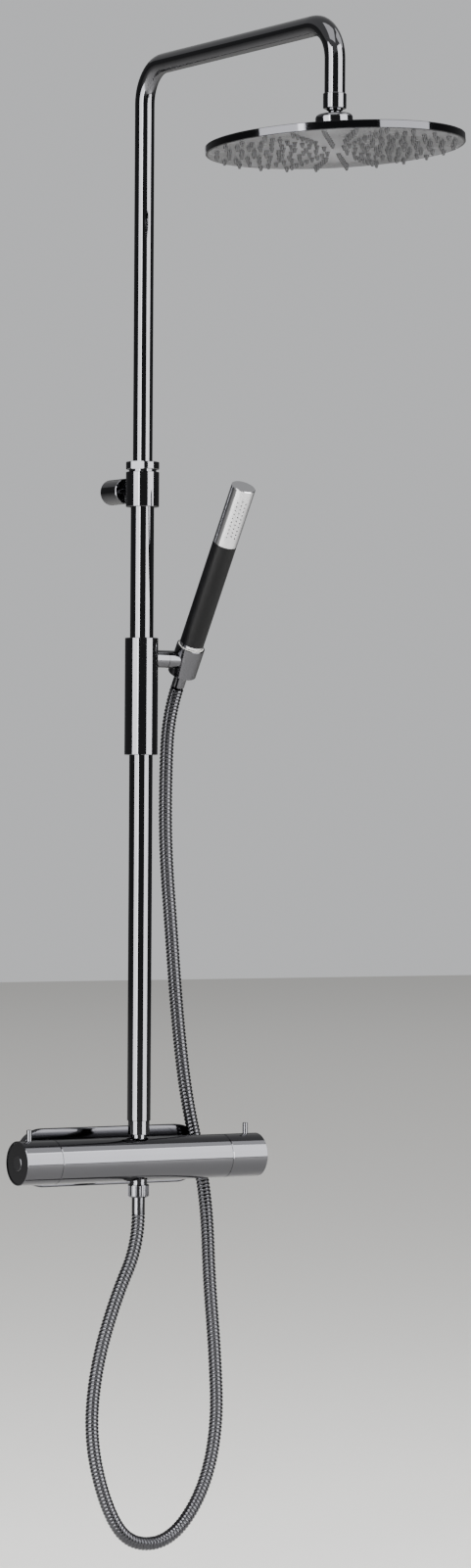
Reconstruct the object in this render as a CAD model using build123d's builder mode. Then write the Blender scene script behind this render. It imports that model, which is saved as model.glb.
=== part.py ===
"""Thermostatic rain-shower column for a bathroom wall.

Millimetres, +Z up. The origin lies on the wall, midway between the two water inlets. The
wall is the plane Y = 0 and the column stands out from it towards -Y, with the mixer bar
along X at Z = 0 and the riser rising from the middle of the bar.
"""

from build123d import *
import math
import os

os.makedirs("parts", exist_ok=True)

# ------------------------------------------------------------------ driving dimensions
FIT = 0.05  # radial clearance of pieces that are screwed or pressed together
RUN = 0.06  # radial clearance of pieces that turn or slide in one another
GAP = 0.4  # face-to-face gap between pieces that move apart
EDGE = 0.5  # small chamfer on turned edges

# mixer bar
BAR_OUT = 62.0  # bar axis from the wall
BAR_R = 22.5
BODY_HALF = 101.0  # half the length of the fixed body
BODY_WALL = 5.5
POCKET_R = BAR_R - BODY_WALL  # cartridge pocket
POCKET_START = 45.0
GALLERY_R = 6.0
KNOB_LENGTH = 41.6
KNOB_WALL = 3.5
KNOB_HOLLOW = 20.0
SPINDLE_R = 4.0
PEG_R = 2.75
PEG_OUT = 11.0
PEG_ALONG = 28.0  # from the end of the fixed body
PEG_X = BODY_HALF + PEG_ALONG
CAP_R = 7.5
CAP_DEPTH = 1.5
KNOB_RECESS = 0.6
KNOB_RIM = 2.0

# inlets and wall cover
INLET_PITCH = 160.0
STUB_R = 10.0
STUB_FACE = 31.0  # end of the body's inlet stub, from the wall
WASHER = 2.0  # thickness of an inlet washer
COUPLER_FLANGE = 2.5
SUPPLY_DEPTH = 20.0
UNION_FLATS = 26.0
UNION_LIP = 1.5
SUPPLY_R = 7.5  # 15 mm supply pipe
PLATE_R = 30.0
PLATE_DEPTH = 8.0
PLATE_WALL = 2.0
PLATE_ROUND = 1.5
BACKING_DEPTH = 4.0
PLATE_SCREW_PITCH = 90.0
PLATE_SCREW_R = 2.3

# riser
PIPE_R = 10.0
PIPE_WALL = 1.0
TUBE_WALL = 1.0
GUIDE_WALL = 1.0  # between the two tubes
TUBE_R = PIPE_R + GUIDE_WALL + TUBE_WALL
BASE_NUT_Z = BAR_R + 2.5
BASE_NUT_HEIGHT = 14.5
BASE_NUT_R = 11.0
NIPPLE_R = 8.0
NIPPLE_BORE = 5.0
NIPPLE_IN_NUT = 8.0
THIN_WASHER = 1.5
PLUG_FLANGE = 2.0
PLUG_DEPTH = 16.5
NIPPLE_SEAT = 14.0  # bottom of the nipple's hole, from the bar axis
COLLAR_WALL = 5.0
COLLAR_R = TUBE_R + COLLAR_WALL
COLLAR_Z = 665.6
COLLAR_HEIGHT = 35.8
TUBE_IN_COLLAR = 24.4
NECK_HEIGHT = 7.6
NECK_WALL = 1.0
COLLET_HEIGHT = 12.0
COLLET_WALL = 3.0
COLLET_R = PIPE_R + COLLET_WALL
NECK_R = COLLET_R + NECK_WALL
LOCK_GROOVE = 2.5
LOCK_LIP = 2.6
LOCK_FLAT = COLLAR_R - 1.5  # axis to wrench flat
LOCK_FLAT_TURN = 51.0

# wall bracket behind the collar
BARREL_R = 13.0
BARREL_WALL = 1.0
BARREL_LENGTH = 30.0
BARREL_FRONT = 4.0
BRACKET_PIN_R = 4.75
PIN_IN_COLLAR = 3.2
PIN_HEAD = 2.5
SET_SCREW_R = 2.0
FOOT_LENGTH = 12.0
BRACKET_SCREW_R = 2.6

# upper pipe
PIPE_FOOT_Z = 360.0
ARM_Z = 1114.0
ARM_REACH = 350.0
BEND_R = 37.0
PIPE_END_Z = 1035.0
GUIDE_LENGTH = 20.0

# rain head, measured along its own axis from the centre of the ball
HEAD_NUT_Z = 1029.6
HEAD_NUT_HEIGHT = 14.6
HEAD_NUT_LIP = 2.0
HEAD_NUT_WALL = 1.2
HEAD_NUT_R = PIPE_R + FIT + HEAD_NUT_WALL
BALL_Z = 1011.0
BALL_R = 11.5
STEM_R = 6.0
STEM_TOP_R = 8.0
STEM_NECK = 15.9  # from the centre of the ball to the flare
STEM_FLARE = 1.2
STEM_FLANGE = 1.8
WATERWAY_R = 4.0
SEAT_WALL = 2.5
SEAT_R = BALL_R + SEAT_WALL
SEAT_HALF = 6.0
HEAD_TILT = 2.3  # rest lean, outwards and to +X
FLANGE_WALL = 4.0
FLANGE_R = SEAT_R + FLANGE_WALL
FLANGE_TOP = SEAT_R - 0.6
FLANGE_MOUTH = BALL_R - 1.2
FLANGE_ROUND = 4.0
DISC_R = 125.0
DISC_TOP = -BALL_R - 0.7
DISC_THICK = 7.8
SHEET = 2.0  # top plate, rim and face plate
MAT_THICK = 1.4
NOZZLE_R = 2.5
NOZZLE_TIP = 1.1
NOZZLE_OUT = 4.5
NOZZLE_PITCH = 12.0
NOZZLE_RIM_R = DISC_R - 10.0
NOZZLE_LONG_END = 19.0  # innermost nozzle of the long, middle and short spokes
NOZZLE_MIDDLE_END = 31.0
NOZZLE_SHORT_END = 55.0
SPOKES = 24
SPOKE_TURN = 81.0
POSTS = 6  # posts that hold the face plate off the shell
POST_OUT = 60.0
POST_R = 3.0
POST_TURN = 7.5

# slider and holder
BUSH_WALL = 1.0
SLIDER_BORE = TUBE_R + BUSH_WALL
SLIDER_WALL = 4.0
SLIDER_R = SLIDER_BORE + SLIDER_WALL
SLIDER_Z = 412.5
SLIDER_HEIGHT = 119.5
BUSH_LENGTH = 15.0
BUSH_INSET = 1.5
SHOE_SIZE = (10.0, 22.0)
SHOE_OUT = SLIDER_BORE + 2.5
HOLDER_ARM_Z = 511.0
HOLDER_ARM_R = 9.0
HOLDER_ARM_ROOT = SLIDER_BORE + 1.0
HOLDER_ARM_END = SLIDER_R + 12.0
HOLDER_PIN_R = 3.0
CUP_R = 14.75
CUP_WALL = 1.5
CUP_NECK = 10.25  # from the arm's end to the cup's side
HOLDER_X = HOLDER_ARM_END + CUP_NECK + CUP_R
CUP_HALF = 16.5
CUP_LIP = 1.5
LINER_RIM = 1.35  # thickness at the cup's rim
CONE_WIDE = CUP_R - CUP_WALL - LINER_RIM  # liner cone at the cup's rim
CONE_NARROW = CONE_WIDE - 2.2  # liner cone at the cup's floor
HAND_TILT = 32.0

# hand shower, measured along its own axis from the middle of the cup
HAND_R = 12.5
CORE_R = HAND_R - 3.5
HAND_FOOT = 17.2
HAND_RING = 3.0
GRIP_TOP = 137.5
HAND_TOP = 202.5
HAND_CAP = 2.0
CAP_PLUG = 2.5
HEAD_WALL = 1.2
SPRAY_ROWS = 3
SPRAY_HOLES = 10
SPRAY_PITCH = 4.4
SPRAY_ROW_TURN = 20.0
SPRAY_TURN = 17.5
SPRAY_HOLE_R = 0.8

# hose and its ends
HOSE_R = 7.0
OUTLET_R = 9.0
OUTLET_SPIGOT = 7.0
OUTLET_GROOVE = 1.0
HOSE_NUT_R = 11.0
HOSE_NUT_LENGTH = 13.0
HOSE_NUT_Z = -BAR_R - 3.5
HOSE_NUT_LIP = 2.5
HOSE_NUT_BEVEL = 1.5
HOSE_NUT_FLUTES = 16
FLUTE_R = 0.9
FLUTE_OUT = 0.3
FERRULE_R = 6.75
FERRULE_LENGTH = 17.0
HAND_FERRULE_END = -31.0
HOSE_LAST_RUN = 34.0

# --------------------------------------------------------------------------- planes
RIGHT = Plane(origin=(0, -BAR_OUT, 0), x_dir=(1, 0, 0), z_dir=(0, -1, 0))
LEFT = Plane(origin=(0, -BAR_OUT, 0), x_dir=(-1, 0, 0), z_dir=(0, 1, 0))
UP = Plane(origin=(0, -BAR_OUT, 0), x_dir=(0, 0, 1), z_dir=(0, -1, 0))
DOWN = Plane(origin=(0, -BAR_OUT, 0), x_dir=(0, 0, -1), z_dir=(0, -1, 0))
DROP = Plane(origin=(0, -BAR_OUT - ARM_REACH, 0), x_dir=(0, 0, 1), z_dir=(0, -1, 0))
BRACKET_Z = COLLAR_Z + COLLAR_HEIGHT / 2
BRACKET = Plane(origin=(0, 0, BRACKET_Z), x_dir=(0, -1, 0), z_dir=(0, 0, 1))
INLETS = [
    Plane(origin=(x, 0, 0), x_dir=(0, -1, 0), z_dir=(0, 0, 1))
    for x in (-INLET_PITCH / 2, INLET_PITCH / 2)
]

lean = math.radians(HEAD_TILT)
HEAD = Plane(
    origin=(0, -BAR_OUT - ARM_REACH, BALL_Z),
    x_dir=(math.cos(lean), 0, math.sin(lean)),
    z_dir=(-math.sin(lean) * math.cos(lean), math.sin(lean), math.cos(lean) ** 2),
)
HEAD_AXIS = Plane(origin=HEAD.origin, x_dir=HEAD.z_dir, z_dir=-HEAD.y_dir)

tip = math.radians(HAND_TILT)
HAND = Plane(
    origin=(HOLDER_X, -BAR_OUT, HOLDER_ARM_Z),
    x_dir=(1, 0, 0),
    z_dir=(0, -math.sin(tip), math.cos(tip)),
)
HAND_AXIS = Plane(origin=HAND.origin, x_dir=HAND.z_dir, z_dir=HAND.x_dir)


def turned(planes, outline, label):
    """Solids of revolution about each plane's X axis, from (along, radius) points."""
    with BuildPart() as piece:
        for plane in planes:
            with BuildSketch(plane):
                with BuildLine():
                    Polyline(*outline, close=True)
                make_face()
            revolve(axis=Axis(plane.origin, plane.x_dir))
    piece.part.label = label
    return piece


def rod(plane, radius, start, end):
    """A round bar about a plane's Z axis, from one height to another."""
    with BuildPart() as piece:
        with BuildSketch(plane.offset(start)):
            Circle(radius)
        extrude(amount=end - start)
    return piece.part


# ---------------------------------------------------------------------- wall cover
plate_face = Plane(origin=(0, 0, 0), x_dir=(1, 0, 0), z_dir=(0, -1, 0))
inlet_spots = [(-INLET_PITCH / 2, 0), (INLET_PITCH / 2, 0)]

with BuildPart() as wall_plate_cover:
    with BuildSketch(plate_face):
        SlotCenterToCenter(INLET_PITCH, 2 * PLATE_R)
    extrude(amount=PLATE_DEPTH)
    fillet(wall_plate_cover.faces().sort_by(Axis.Y)[0].edges(), PLATE_ROUND)
    with BuildSketch(plate_face):
        SlotCenterToCenter(INLET_PITCH, 2 * (PLATE_R - PLATE_WALL))
    extrude(amount=PLATE_DEPTH - PLATE_WALL, mode=Mode.SUBTRACT)
    with BuildSketch(plate_face):
        with Locations(*inlet_spots):
            Circle(STUB_R + FIT)
    extrude(amount=PLATE_DEPTH, mode=Mode.SUBTRACT)
wall_plate_cover.part.label = "wall_plate_cover"

with BuildPart() as wall_plate_backing:
    with BuildSketch(plate_face):
        SlotCenterToCenter(INLET_PITCH, 2 * (PLATE_R - PLATE_WALL - FIT))
        with Locations(*inlet_spots):
            Circle(STUB_R + FIT, mode=Mode.SUBTRACT)
        with GridLocations(PLATE_SCREW_PITCH, 1, 2, 1):
            Circle(PLATE_SCREW_R, mode=Mode.SUBTRACT)
    extrude(amount=BACKING_DEPTH)
    with BuildSketch(plate_face.offset(BACKING_DEPTH)):
        with GridLocations(PLATE_SCREW_PITCH / 3, 1, 2, 1):
            Circle(2 * PLATE_SCREW_R)
    extrude(amount=PLATE_DEPTH - PLATE_WALL - BACKING_DEPTH)
wall_plate_backing.part.label = "wall_plate_backing"

# ------------------------------------------------------------------- inlet unions
flange_front = STUB_FACE - WASHER
flange_back = flange_front - COUPLER_FLANGE
union_back = flange_back - UNION_LIP
union_front = BAR_OUT - BAR_R - 0.8
union_chamber = STUB_R + 1.6

inlet_couplers = turned(
    INLETS,
    [
        (0, SUPPLY_R),
        (0, STUB_R),
        (flange_back, STUB_R),
        (flange_back, union_chamber - 0.2),
        (flange_front, union_chamber - 0.2),
        (flange_front, SUPPLY_R - 1.5),
        (SUPPLY_DEPTH, SUPPLY_R - 1.5),
        (SUPPLY_DEPTH, SUPPLY_R),
    ],
    "inlet_couplers",
)

with BuildPart() as inlet_union_nuts:
    for plane in INLETS:
        nut_face = Plane(origin=plane.origin, x_dir=(0, 0, 1), z_dir=(0, -1, 0))
        with BuildSketch(nut_face.offset(union_back)):
            RegularPolygon(UNION_FLATS / 2, 6, major_radius=False, rotation=30)
        extrude(amount=union_front - union_back)
        add(rod(nut_face, STUB_R + FIT, union_back, union_front), mode=Mode.SUBTRACT)
        add(rod(nut_face, union_chamber, flange_back, STUB_FACE), mode=Mode.SUBTRACT)
inlet_union_nuts.part.label = "inlet_union_nuts"

valve_r = GALLERY_R - FIT
valve_end = STUB_FACE + 13.0
check_valves = turned(
    INLETS,
    [(STUB_FACE, 3), (STUB_FACE, valve_r), (valve_end, valve_r), (valve_end, 3)],
    "check_valves",
)

# --------------------------------------------------------------------- mixer body
body_outline = [
    (-BODY_HALF, POCKET_R),
    (-BODY_HALF, BAR_R - EDGE),
    (-BODY_HALF + EDGE, BAR_R),
    (BODY_HALF - EDGE, BAR_R),
    (BODY_HALF, BAR_R - EDGE),
    (BODY_HALF, POCKET_R),
    (POCKET_START, POCKET_R),
    (POCKET_START, GALLERY_R),
    (-POCKET_START, GALLERY_R),
    (-POCKET_START, POCKET_R),
]
riser_floor = Plane(origin=(0, -BAR_OUT, 0), x_dir=(1, 0, 0), z_dir=(0, 0, 1))
riser_ceiling = Plane(origin=(0, -BAR_OUT, 0), x_dir=(1, 0, 0), z_dir=(0, 0, -1))
stub_root = BAR_OUT - POCKET_R - 1.0

with BuildPart() as mixer_body:
    add(turned([RIGHT], body_outline, "bar").part)
    for plane in INLETS:
        stub = Plane(origin=plane.origin, x_dir=(1, 0, 0), z_dir=(0, -1, 0))
        add(rod(stub, STUB_R, STUB_FACE, stub_root))
        add(rod(stub, GALLERY_R, STUB_FACE, stub_root + 4), mode=Mode.SUBTRACT)
    add(rod(riser_floor, GALLERY_R, 0, NIPPLE_SEAT), mode=Mode.SUBTRACT)
    add(rod(riser_floor, NIPPLE_R + FIT, NIPPLE_SEAT, BAR_R + 1), mode=Mode.SUBTRACT)
    add(rod(riser_ceiling, GALLERY_R, 0, NIPPLE_SEAT), mode=Mode.SUBTRACT)
    add(rod(riser_ceiling, OUTLET_R + FIT, NIPPLE_SEAT, BAR_R + 1), mode=Mode.SUBTRACT)
mixer_body.part.label = "mixer_body"

cartridge_end = BODY_HALF - 6.0
spindle_start = POCKET_START + 25.0
spindle_end = PEG_X - 2.0
cartridge_outline = [
    (POCKET_START, 0),
    (POCKET_START, POCKET_R - FIT),
    (INLET_PITCH / 2 - GALLERY_R, POCKET_R - FIT),
    (INLET_PITCH / 2 - GALLERY_R, POCKET_R - 3.5),
    (INLET_PITCH / 2 + GALLERY_R, POCKET_R - 3.5),
    (INLET_PITCH / 2 + GALLERY_R, POCKET_R - FIT),
    (cartridge_end, POCKET_R - FIT),
    (cartridge_end, SPINDLE_R + RUN),
    (spindle_start, SPINDLE_R + RUN),
    (spindle_start, 0),
]
thermostat_cartridge = turned([RIGHT], cartridge_outline, "thermostat_cartridge")
flow_cartridge = turned([LEFT], cartridge_outline, "flow_cartridge")
cartridge_nuts = turned(
    [RIGHT, LEFT],
    [
        (cartridge_end, POCKET_R / 2),
        (cartridge_end, POCKET_R - FIT),
        (BODY_HALF, POCKET_R - FIT),
        (BODY_HALF, POCKET_R / 2),
    ],
    "cartridge_nuts",
)

# -------------------------------------------------------------------------- knobs
knob_start = BODY_HALF + GAP
knob_end = knob_start + KNOB_LENGTH
knob_face = knob_end - KNOB_RECESS
cap_floor = knob_face - CAP_DEPTH
knob_floor = knob_start + KNOB_HOLLOW
boss_start = knob_start + 3.0
peg_foot = BAR_R - 8.0


def knob(plane, label):
    """A hollow cup with a boss for the spindle, a recessed end and a hole for its peg."""
    outline = [
        (knob_start, BAR_R - KNOB_WALL),
        (knob_start, BAR_R - EDGE),
        (knob_start + EDGE, BAR_R),
        (knob_end - EDGE, BAR_R),
        (knob_end, BAR_R - EDGE),
        (knob_end, BAR_R - KNOB_RIM),
        (knob_face, BAR_R - KNOB_RIM),
        (knob_face, CAP_R + FIT),
        (cap_floor, CAP_R + FIT),
        (cap_floor, SPINDLE_R / 2),
        (spindle_end, SPINDLE_R / 2),
        (spindle_end, SPINDLE_R + FIT),
        (boss_start, SPINDLE_R + FIT),
        (boss_start, 2 * SPINDLE_R),
        (knob_floor, 2 * SPINDLE_R),
        (knob_floor, BAR_R - KNOB_WALL),
    ]
    top = Plane(origin=plane.origin + plane.x_dir * PEG_X, x_dir=(1, 0, 0), z_dir=(0, 0, 1))
    with BuildPart() as piece:
        add(turned([plane], outline, label).part)
        add(rod(top, PEG_R + FIT, peg_foot, BAR_R + 1), mode=Mode.SUBTRACT)
    piece.part.label = label
    return piece


def knob_peg(plane, label):
    """The upright peg that the fingers push."""
    top = Plane(origin=plane.origin + plane.x_dir * PEG_X, x_dir=(1, 0, 0), z_dir=(0, 0, 1))
    with BuildPart() as piece:
        add(rod(top, PEG_R, peg_foot, BAR_R + PEG_OUT))
        fillet(piece.edges().sort_by(Axis.Z)[-1], PEG_R / 3)
    piece.part.label = label
    return piece


cap_outline = [
    (cap_floor, 0),
    (cap_floor, CAP_R),
    (knob_face, CAP_R),
    (knob_face + 0.3, CAP_R - 0.3),
    (knob_face + 0.3, 0),
]
spindle_outline = [
    (spindle_start + 2, 0),
    (spindle_start + 2, SPINDLE_R),
    (spindle_end, SPINDLE_R),
    (spindle_end, 0),
]
temperature_knob = knob(RIGHT, "temperature_knob")
temperature_peg = knob_peg(RIGHT, "temperature_peg")
temperature_cap = turned([RIGHT], cap_outline, "temperature_cap")
thermostat_spindle = turned([RIGHT], spindle_outline, "thermostat_spindle")
flow_knob = knob(LEFT, "flow_knob")
flow_peg = knob_peg(LEFT, "flow_peg")
flow_cap = turned([LEFT], cap_outline, "flow_cap")
flow_spindle = turned([LEFT], spindle_outline, "flow_spindle")

# ---------------------------------------------------------------- foot of the riser
nipple_end = BASE_NUT_Z + NIPPLE_IN_NUT
plug_start = nipple_end + THIN_WASHER
tube_seat = BASE_NUT_Z + BASE_NUT_HEIGHT
tube_foot = tube_seat + PLUG_FLANGE
plug_end = tube_foot + PLUG_DEPTH
tube_bore = TUBE_R - TUBE_WALL
tube_top = COLLAR_Z + TUBE_IN_COLLAR

riser_outlet_nipple = turned(
    [UP],
    [
        (NIPPLE_SEAT, NIPPLE_BORE),
        (NIPPLE_SEAT, NIPPLE_R),
        (nipple_end, NIPPLE_R),
        (nipple_end, NIPPLE_BORE),
    ],
    "riser_outlet_nipple",
)
riser_base_nut = turned(
    [UP],
    [
        (BASE_NUT_Z, NIPPLE_R + FIT),
        (BASE_NUT_Z, BASE_NUT_R - EDGE),
        (BASE_NUT_Z + EDGE, BASE_NUT_R),
        (tube_seat - EDGE, BASE_NUT_R),
        (tube_seat, BASE_NUT_R - EDGE),
        (tube_seat, NIPPLE_R + FIT),
    ],
    "riser_base_nut",
)
riser_foot_plug = turned(
    [UP],
    [
        (plug_start, NIPPLE_BORE),
        (plug_start, NIPPLE_R),
        (tube_seat, NIPPLE_R),
        (tube_seat, TUBE_R),
        (tube_foot, TUBE_R),
        (tube_foot, tube_bore - FIT),
        (plug_end, tube_bore - FIT),
        (plug_end, NIPPLE_BORE),
    ],
    "riser_foot_plug",
)
lower_tube = turned(
    [UP],
    [(tube_foot, tube_bore), (tube_foot, TUBE_R), (tube_top, TUBE_R), (tube_top, tube_bore)],
    "lower_tube",
)

# ------------------------------------------------------------ collar and wall bracket
collar_top = COLLAR_Z + COLLAR_HEIGHT
neck_top = collar_top + NECK_HEIGHT
collet_foot = neck_top - COLLET_HEIGHT
pipe_way = PIPE_R + GAP
lock_foot = collar_top + LOCK_GROOVE
lock_top = neck_top + LOCK_LIP
barrel_floor = BARREL_LENGTH - BARREL_FRONT
pin_end = BAR_OUT - COLLAR_R + PIN_IN_COLLAR

with BuildPart() as collar_body:
    add(
        turned(
            [UP],
            [
                (COLLAR_Z, TUBE_R + FIT),
                (COLLAR_Z, COLLAR_R - EDGE),
                (COLLAR_Z + EDGE, COLLAR_R),
                (collar_top - EDGE, COLLAR_R),
                (collar_top, COLLAR_R - EDGE),
                (collar_top, NECK_R),
                (neck_top, NECK_R),
                (neck_top, COLLET_R),
                (collet_foot, COLLET_R),
                (collet_foot, pipe_way),
                (tube_top, pipe_way),
                (tube_top, TUBE_R + FIT),
            ],
            "collar",
        ).part
    )
    wall_side = Plane(origin=(0, 0, BRACKET_Z), x_dir=(1, 0, 0), z_dir=(0, -1, 0))
    add(rod(wall_side, BRACKET_PIN_R + FIT, BARREL_LENGTH, pin_end), mode=Mode.SUBTRACT)
collar_body.part.label = "collar_body"

with BuildPart() as collar_lock_nut:
    add(
        turned(
            [UP],
            [
                (lock_foot, NECK_R + FIT),
                (lock_foot, COLLAR_R - EDGE),
                (lock_foot + EDGE, COLLAR_R),
                (lock_top - EDGE, COLLAR_R),
                (lock_top, COLLAR_R - EDGE),
                (lock_top, pipe_way),
                (neck_top, pipe_way),
                (neck_top, NECK_R + FIT),
            ],
            "nut",
        ).part
    )
    for turn in (LOCK_FLAT_TURN, LOCK_FLAT_TURN + 180):
        side = math.radians(270 - turn)
        outward = Vector(math.cos(side), math.sin(side), 0)
        flat = Plane(
            origin=Vector(0, -BAR_OUT, lock_foot) + outward * LOCK_FLAT,
            x_dir=(0, 0, 1),
            z_dir=outward,
        )
        with BuildSketch(flat):
            Rectangle(4 * COLLAR_R, 2 * COLLAR_R)
        extrude(amount=COLLAR_R, mode=Mode.SUBTRACT)
collar_lock_nut.part.label = "collar_lock_nut"

with BuildPart() as collar_clamp_ring:
    with BuildSketch(riser_floor.offset(collet_foot)):
        Circle(COLLET_R - FIT)
        Circle(PIPE_R + RUN, mode=Mode.SUBTRACT)
        with Locations((0, COLLET_R)):
            Rectangle(2, 2 * (COLLET_R - PIPE_R) + 2, mode=Mode.SUBTRACT)
    extrude(amount=COLLET_HEIGHT)
collar_clamp_ring.part.label = "collar_clamp_ring"

bracket_wall_foot = turned(
    [BRACKET],
    [
        (0, BRACKET_SCREW_R),
        (0, BARREL_R - BARREL_WALL - FIT),
        (FOOT_LENGTH, BARREL_R - BARREL_WALL - FIT),
        (FOOT_LENGTH, BRACKET_SCREW_R + 2),
        (FOOT_LENGTH - 5, BRACKET_SCREW_R + 2),
        (FOOT_LENGTH - 5, BRACKET_SCREW_R),
    ],
    "bracket_wall_foot",
)
set_screw_spot = Plane(origin=(0, -FOOT_LENGTH / 2, BRACKET_Z), x_dir=(1, 0, 0), z_dir=(0, 0, -1))
set_screw_foot = BARREL_R - BARREL_WALL - 2.0

with BuildPart() as bracket_set_screw:
    add(rod(set_screw_spot, SET_SCREW_R, set_screw_foot, BARREL_R - 0.3))
bracket_set_screw.part.label = "bracket_set_screw"

with BuildPart(mode=Mode.PRIVATE) as set_screw_hole:
    add(rod(set_screw_spot, SET_SCREW_R + FIT, set_screw_foot, BARREL_R + 1))

with BuildPart() as bracket_foot_drilled:
    add(bracket_wall_foot.part)
    add(set_screw_hole.part, mode=Mode.SUBTRACT)
bracket_foot_drilled.part.label = "bracket_wall_foot"

with BuildPart() as bracket_barrel:
    add(
        turned(
            [BRACKET],
            [
                (0, BARREL_R - BARREL_WALL),
                (0, BARREL_R),
                (BARREL_LENGTH - EDGE, BARREL_R),
                (BARREL_LENGTH, BARREL_R - EDGE),
                (BARREL_LENGTH, BRACKET_PIN_R + FIT),
                (barrel_floor, BRACKET_PIN_R + FIT),
                (barrel_floor, BARREL_R - BARREL_WALL),
            ],
            "barrel",
        ).part
    )
    add(set_screw_hole.part, mode=Mode.SUBTRACT)
bracket_barrel.part.label = "bracket_barrel"

bracket_spindle = turned(
    [BRACKET],
    [
        (barrel_floor - PIN_HEAD, 0),
        (barrel_floor - PIN_HEAD, BRACKET_PIN_R + 3),
        (barrel_floor, BRACKET_PIN_R + 3),
        (barrel_floor, BRACKET_PIN_R),
        (pin_end, BRACKET_PIN_R),
        (pin_end, 0),
    ],
    "bracket_spindle",
)

# ----------------------------------------------------------- upper pipe and its guide
arm_end_y = -BAR_OUT - ARM_REACH

with BuildPart() as upper_pipe:
    with BuildLine() as pipe_run:
        FilletPolyline(
            (0, -BAR_OUT, PIPE_FOOT_Z),
            (0, -BAR_OUT, ARM_Z),
            (0, arm_end_y, ARM_Z),
            (0, arm_end_y, PIPE_END_Z),
            radius=BEND_R,
        )
    with BuildSketch(Plane(origin=pipe_run.line @ 0, z_dir=pipe_run.line % 0)):
        Circle(PIPE_R)
        Circle(PIPE_R - PIPE_WALL, mode=Mode.SUBTRACT)
    sweep()
upper_pipe.part.label = "upper_pipe"

foot_plug_start = PIPE_FOOT_Z - 10.0
foot_plug_end = PIPE_FOOT_Z + 14.0
pipe_foot_plug = turned(
    [UP],
    [
        (foot_plug_start, GALLERY_R),
        (foot_plug_start, tube_bore - 2 * FIT),
        (PIPE_FOOT_Z, tube_bore - 2 * FIT),
        (PIPE_FOOT_Z, PIPE_R - PIPE_WALL - FIT),
        (foot_plug_end, PIPE_R - PIPE_WALL - FIT),
        (foot_plug_end, GALLERY_R),
    ],
    "pipe_foot_plug",
)
riser_guide_bush = turned(
    [UP],
    [
        (PIPE_FOOT_Z + GAP, PIPE_R + RUN),
        (PIPE_FOOT_Z + GAP, tube_bore - RUN),
        (PIPE_FOOT_Z + GAP + GUIDE_LENGTH, tube_bore - RUN),
        (PIPE_FOOT_Z + GAP + GUIDE_LENGTH, PIPE_R + RUN),
    ],
    "riser_guide_bush",
)

# ------------------------------------------------------------------ head connection
nut_lip = HEAD_NUT_Z + HEAD_NUT_LIP
stem_flange_top = nut_lip + STEM_FLANGE
stem_flare = BALL_Z + STEM_NECK
stem_wide = stem_flare + STEM_FLARE

head_nut = turned(
    [DROP],
    [
        (HEAD_NUT_Z, STEM_TOP_R + FIT),
        (HEAD_NUT_Z, HEAD_NUT_R - EDGE),
        (HEAD_NUT_Z + EDGE, HEAD_NUT_R),
        (HEAD_NUT_Z + HEAD_NUT_HEIGHT - EDGE, HEAD_NUT_R),
        (HEAD_NUT_Z + HEAD_NUT_HEIGHT, HEAD_NUT_R - EDGE),
        (HEAD_NUT_Z + HEAD_NUT_HEIGHT, PIPE_R + FIT),
        (nut_lip, PIPE_R + FIT),
        (nut_lip, STEM_TOP_R + FIT),
    ],
    "head_nut",
)
head_washer = turned(
    [DROP],
    [
        (stem_flange_top, WATERWAY_R + 1),
        (stem_flange_top, PIPE_R - FIT),
        (PIPE_END_Z, PIPE_R - FIT),
        (PIPE_END_Z, WATERWAY_R + 1),
    ],
    "head_washer",
)

with BuildPart() as swivel_ball:
    with Locations(HEAD.origin):
        Sphere(BALL_R)
    add(
        turned(
            [DROP],
            [
                (BALL_Z, 0),
                (BALL_Z, STEM_R),
                (stem_flare, STEM_R),
                (stem_wide, STEM_TOP_R),
                (nut_lip, STEM_TOP_R),
                (nut_lip, PIPE_R - FIT),
                (stem_flange_top, PIPE_R - FIT),
                (stem_flange_top, 0),
            ],
            "stem",
        ).part
    )
    ball_floor = Plane(origin=HEAD.origin, x_dir=(1, 0, 0), z_dir=(0, 0, 1))
    add(rod(ball_floor, WATERWAY_R, -BALL_R - 1, 2 * BALL_R), mode=Mode.SUBTRACT)
swivel_ball.part.label = "swivel_ball"

with BuildPart() as ball_seat_ring:
    with Locations(HEAD.origin):
        Sphere(SEAT_R)
        Sphere(BALL_R + RUN, mode=Mode.SUBTRACT)
    with BuildSketch(HEAD.offset(-SEAT_HALF)):
        Circle(2 * SEAT_R)
    extrude(amount=2 * SEAT_HALF, mode=Mode.INTERSECT)
ball_seat_ring.part.label = "ball_seat_ring"

# ------------------------------------------------------------------------ rain head
socket_r = SEAT_R + RUN
mouth_angle = math.asin(FLANGE_MOUTH / socket_r)
socket_mid = (mouth_angle + math.pi / 2) / 2
shoulder = FLANGE_ROUND * (1 - math.sqrt(0.5))

with BuildPart() as head_flange:
    with BuildSketch(HEAD_AXIS):
        with BuildLine():
            Polyline((0, socket_r), (DISC_TOP, socket_r), (DISC_TOP, FLANGE_R))
            Line((DISC_TOP, FLANGE_R), (FLANGE_TOP - FLANGE_ROUND, FLANGE_R))
            ThreePointArc(
                (FLANGE_TOP - FLANGE_ROUND, FLANGE_R),
                (FLANGE_TOP - shoulder, FLANGE_R - shoulder),
                (FLANGE_TOP, FLANGE_R - FLANGE_ROUND),
            )
            Polyline(
                (FLANGE_TOP, FLANGE_R - FLANGE_ROUND),
                (FLANGE_TOP, FLANGE_MOUTH),
                (socket_r * math.cos(mouth_angle), FLANGE_MOUTH),
            )
            ThreePointArc(
                (socket_r * math.cos(mouth_angle), FLANGE_MOUTH),
                (socket_r * math.cos(socket_mid), socket_r * math.sin(socket_mid)),
                (0, socket_r),
            )
        make_face()
    revolve(axis=Axis(HEAD_AXIS.origin, HEAD_AXIS.x_dir))
head_flange.part.label = "head_flange"

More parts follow.
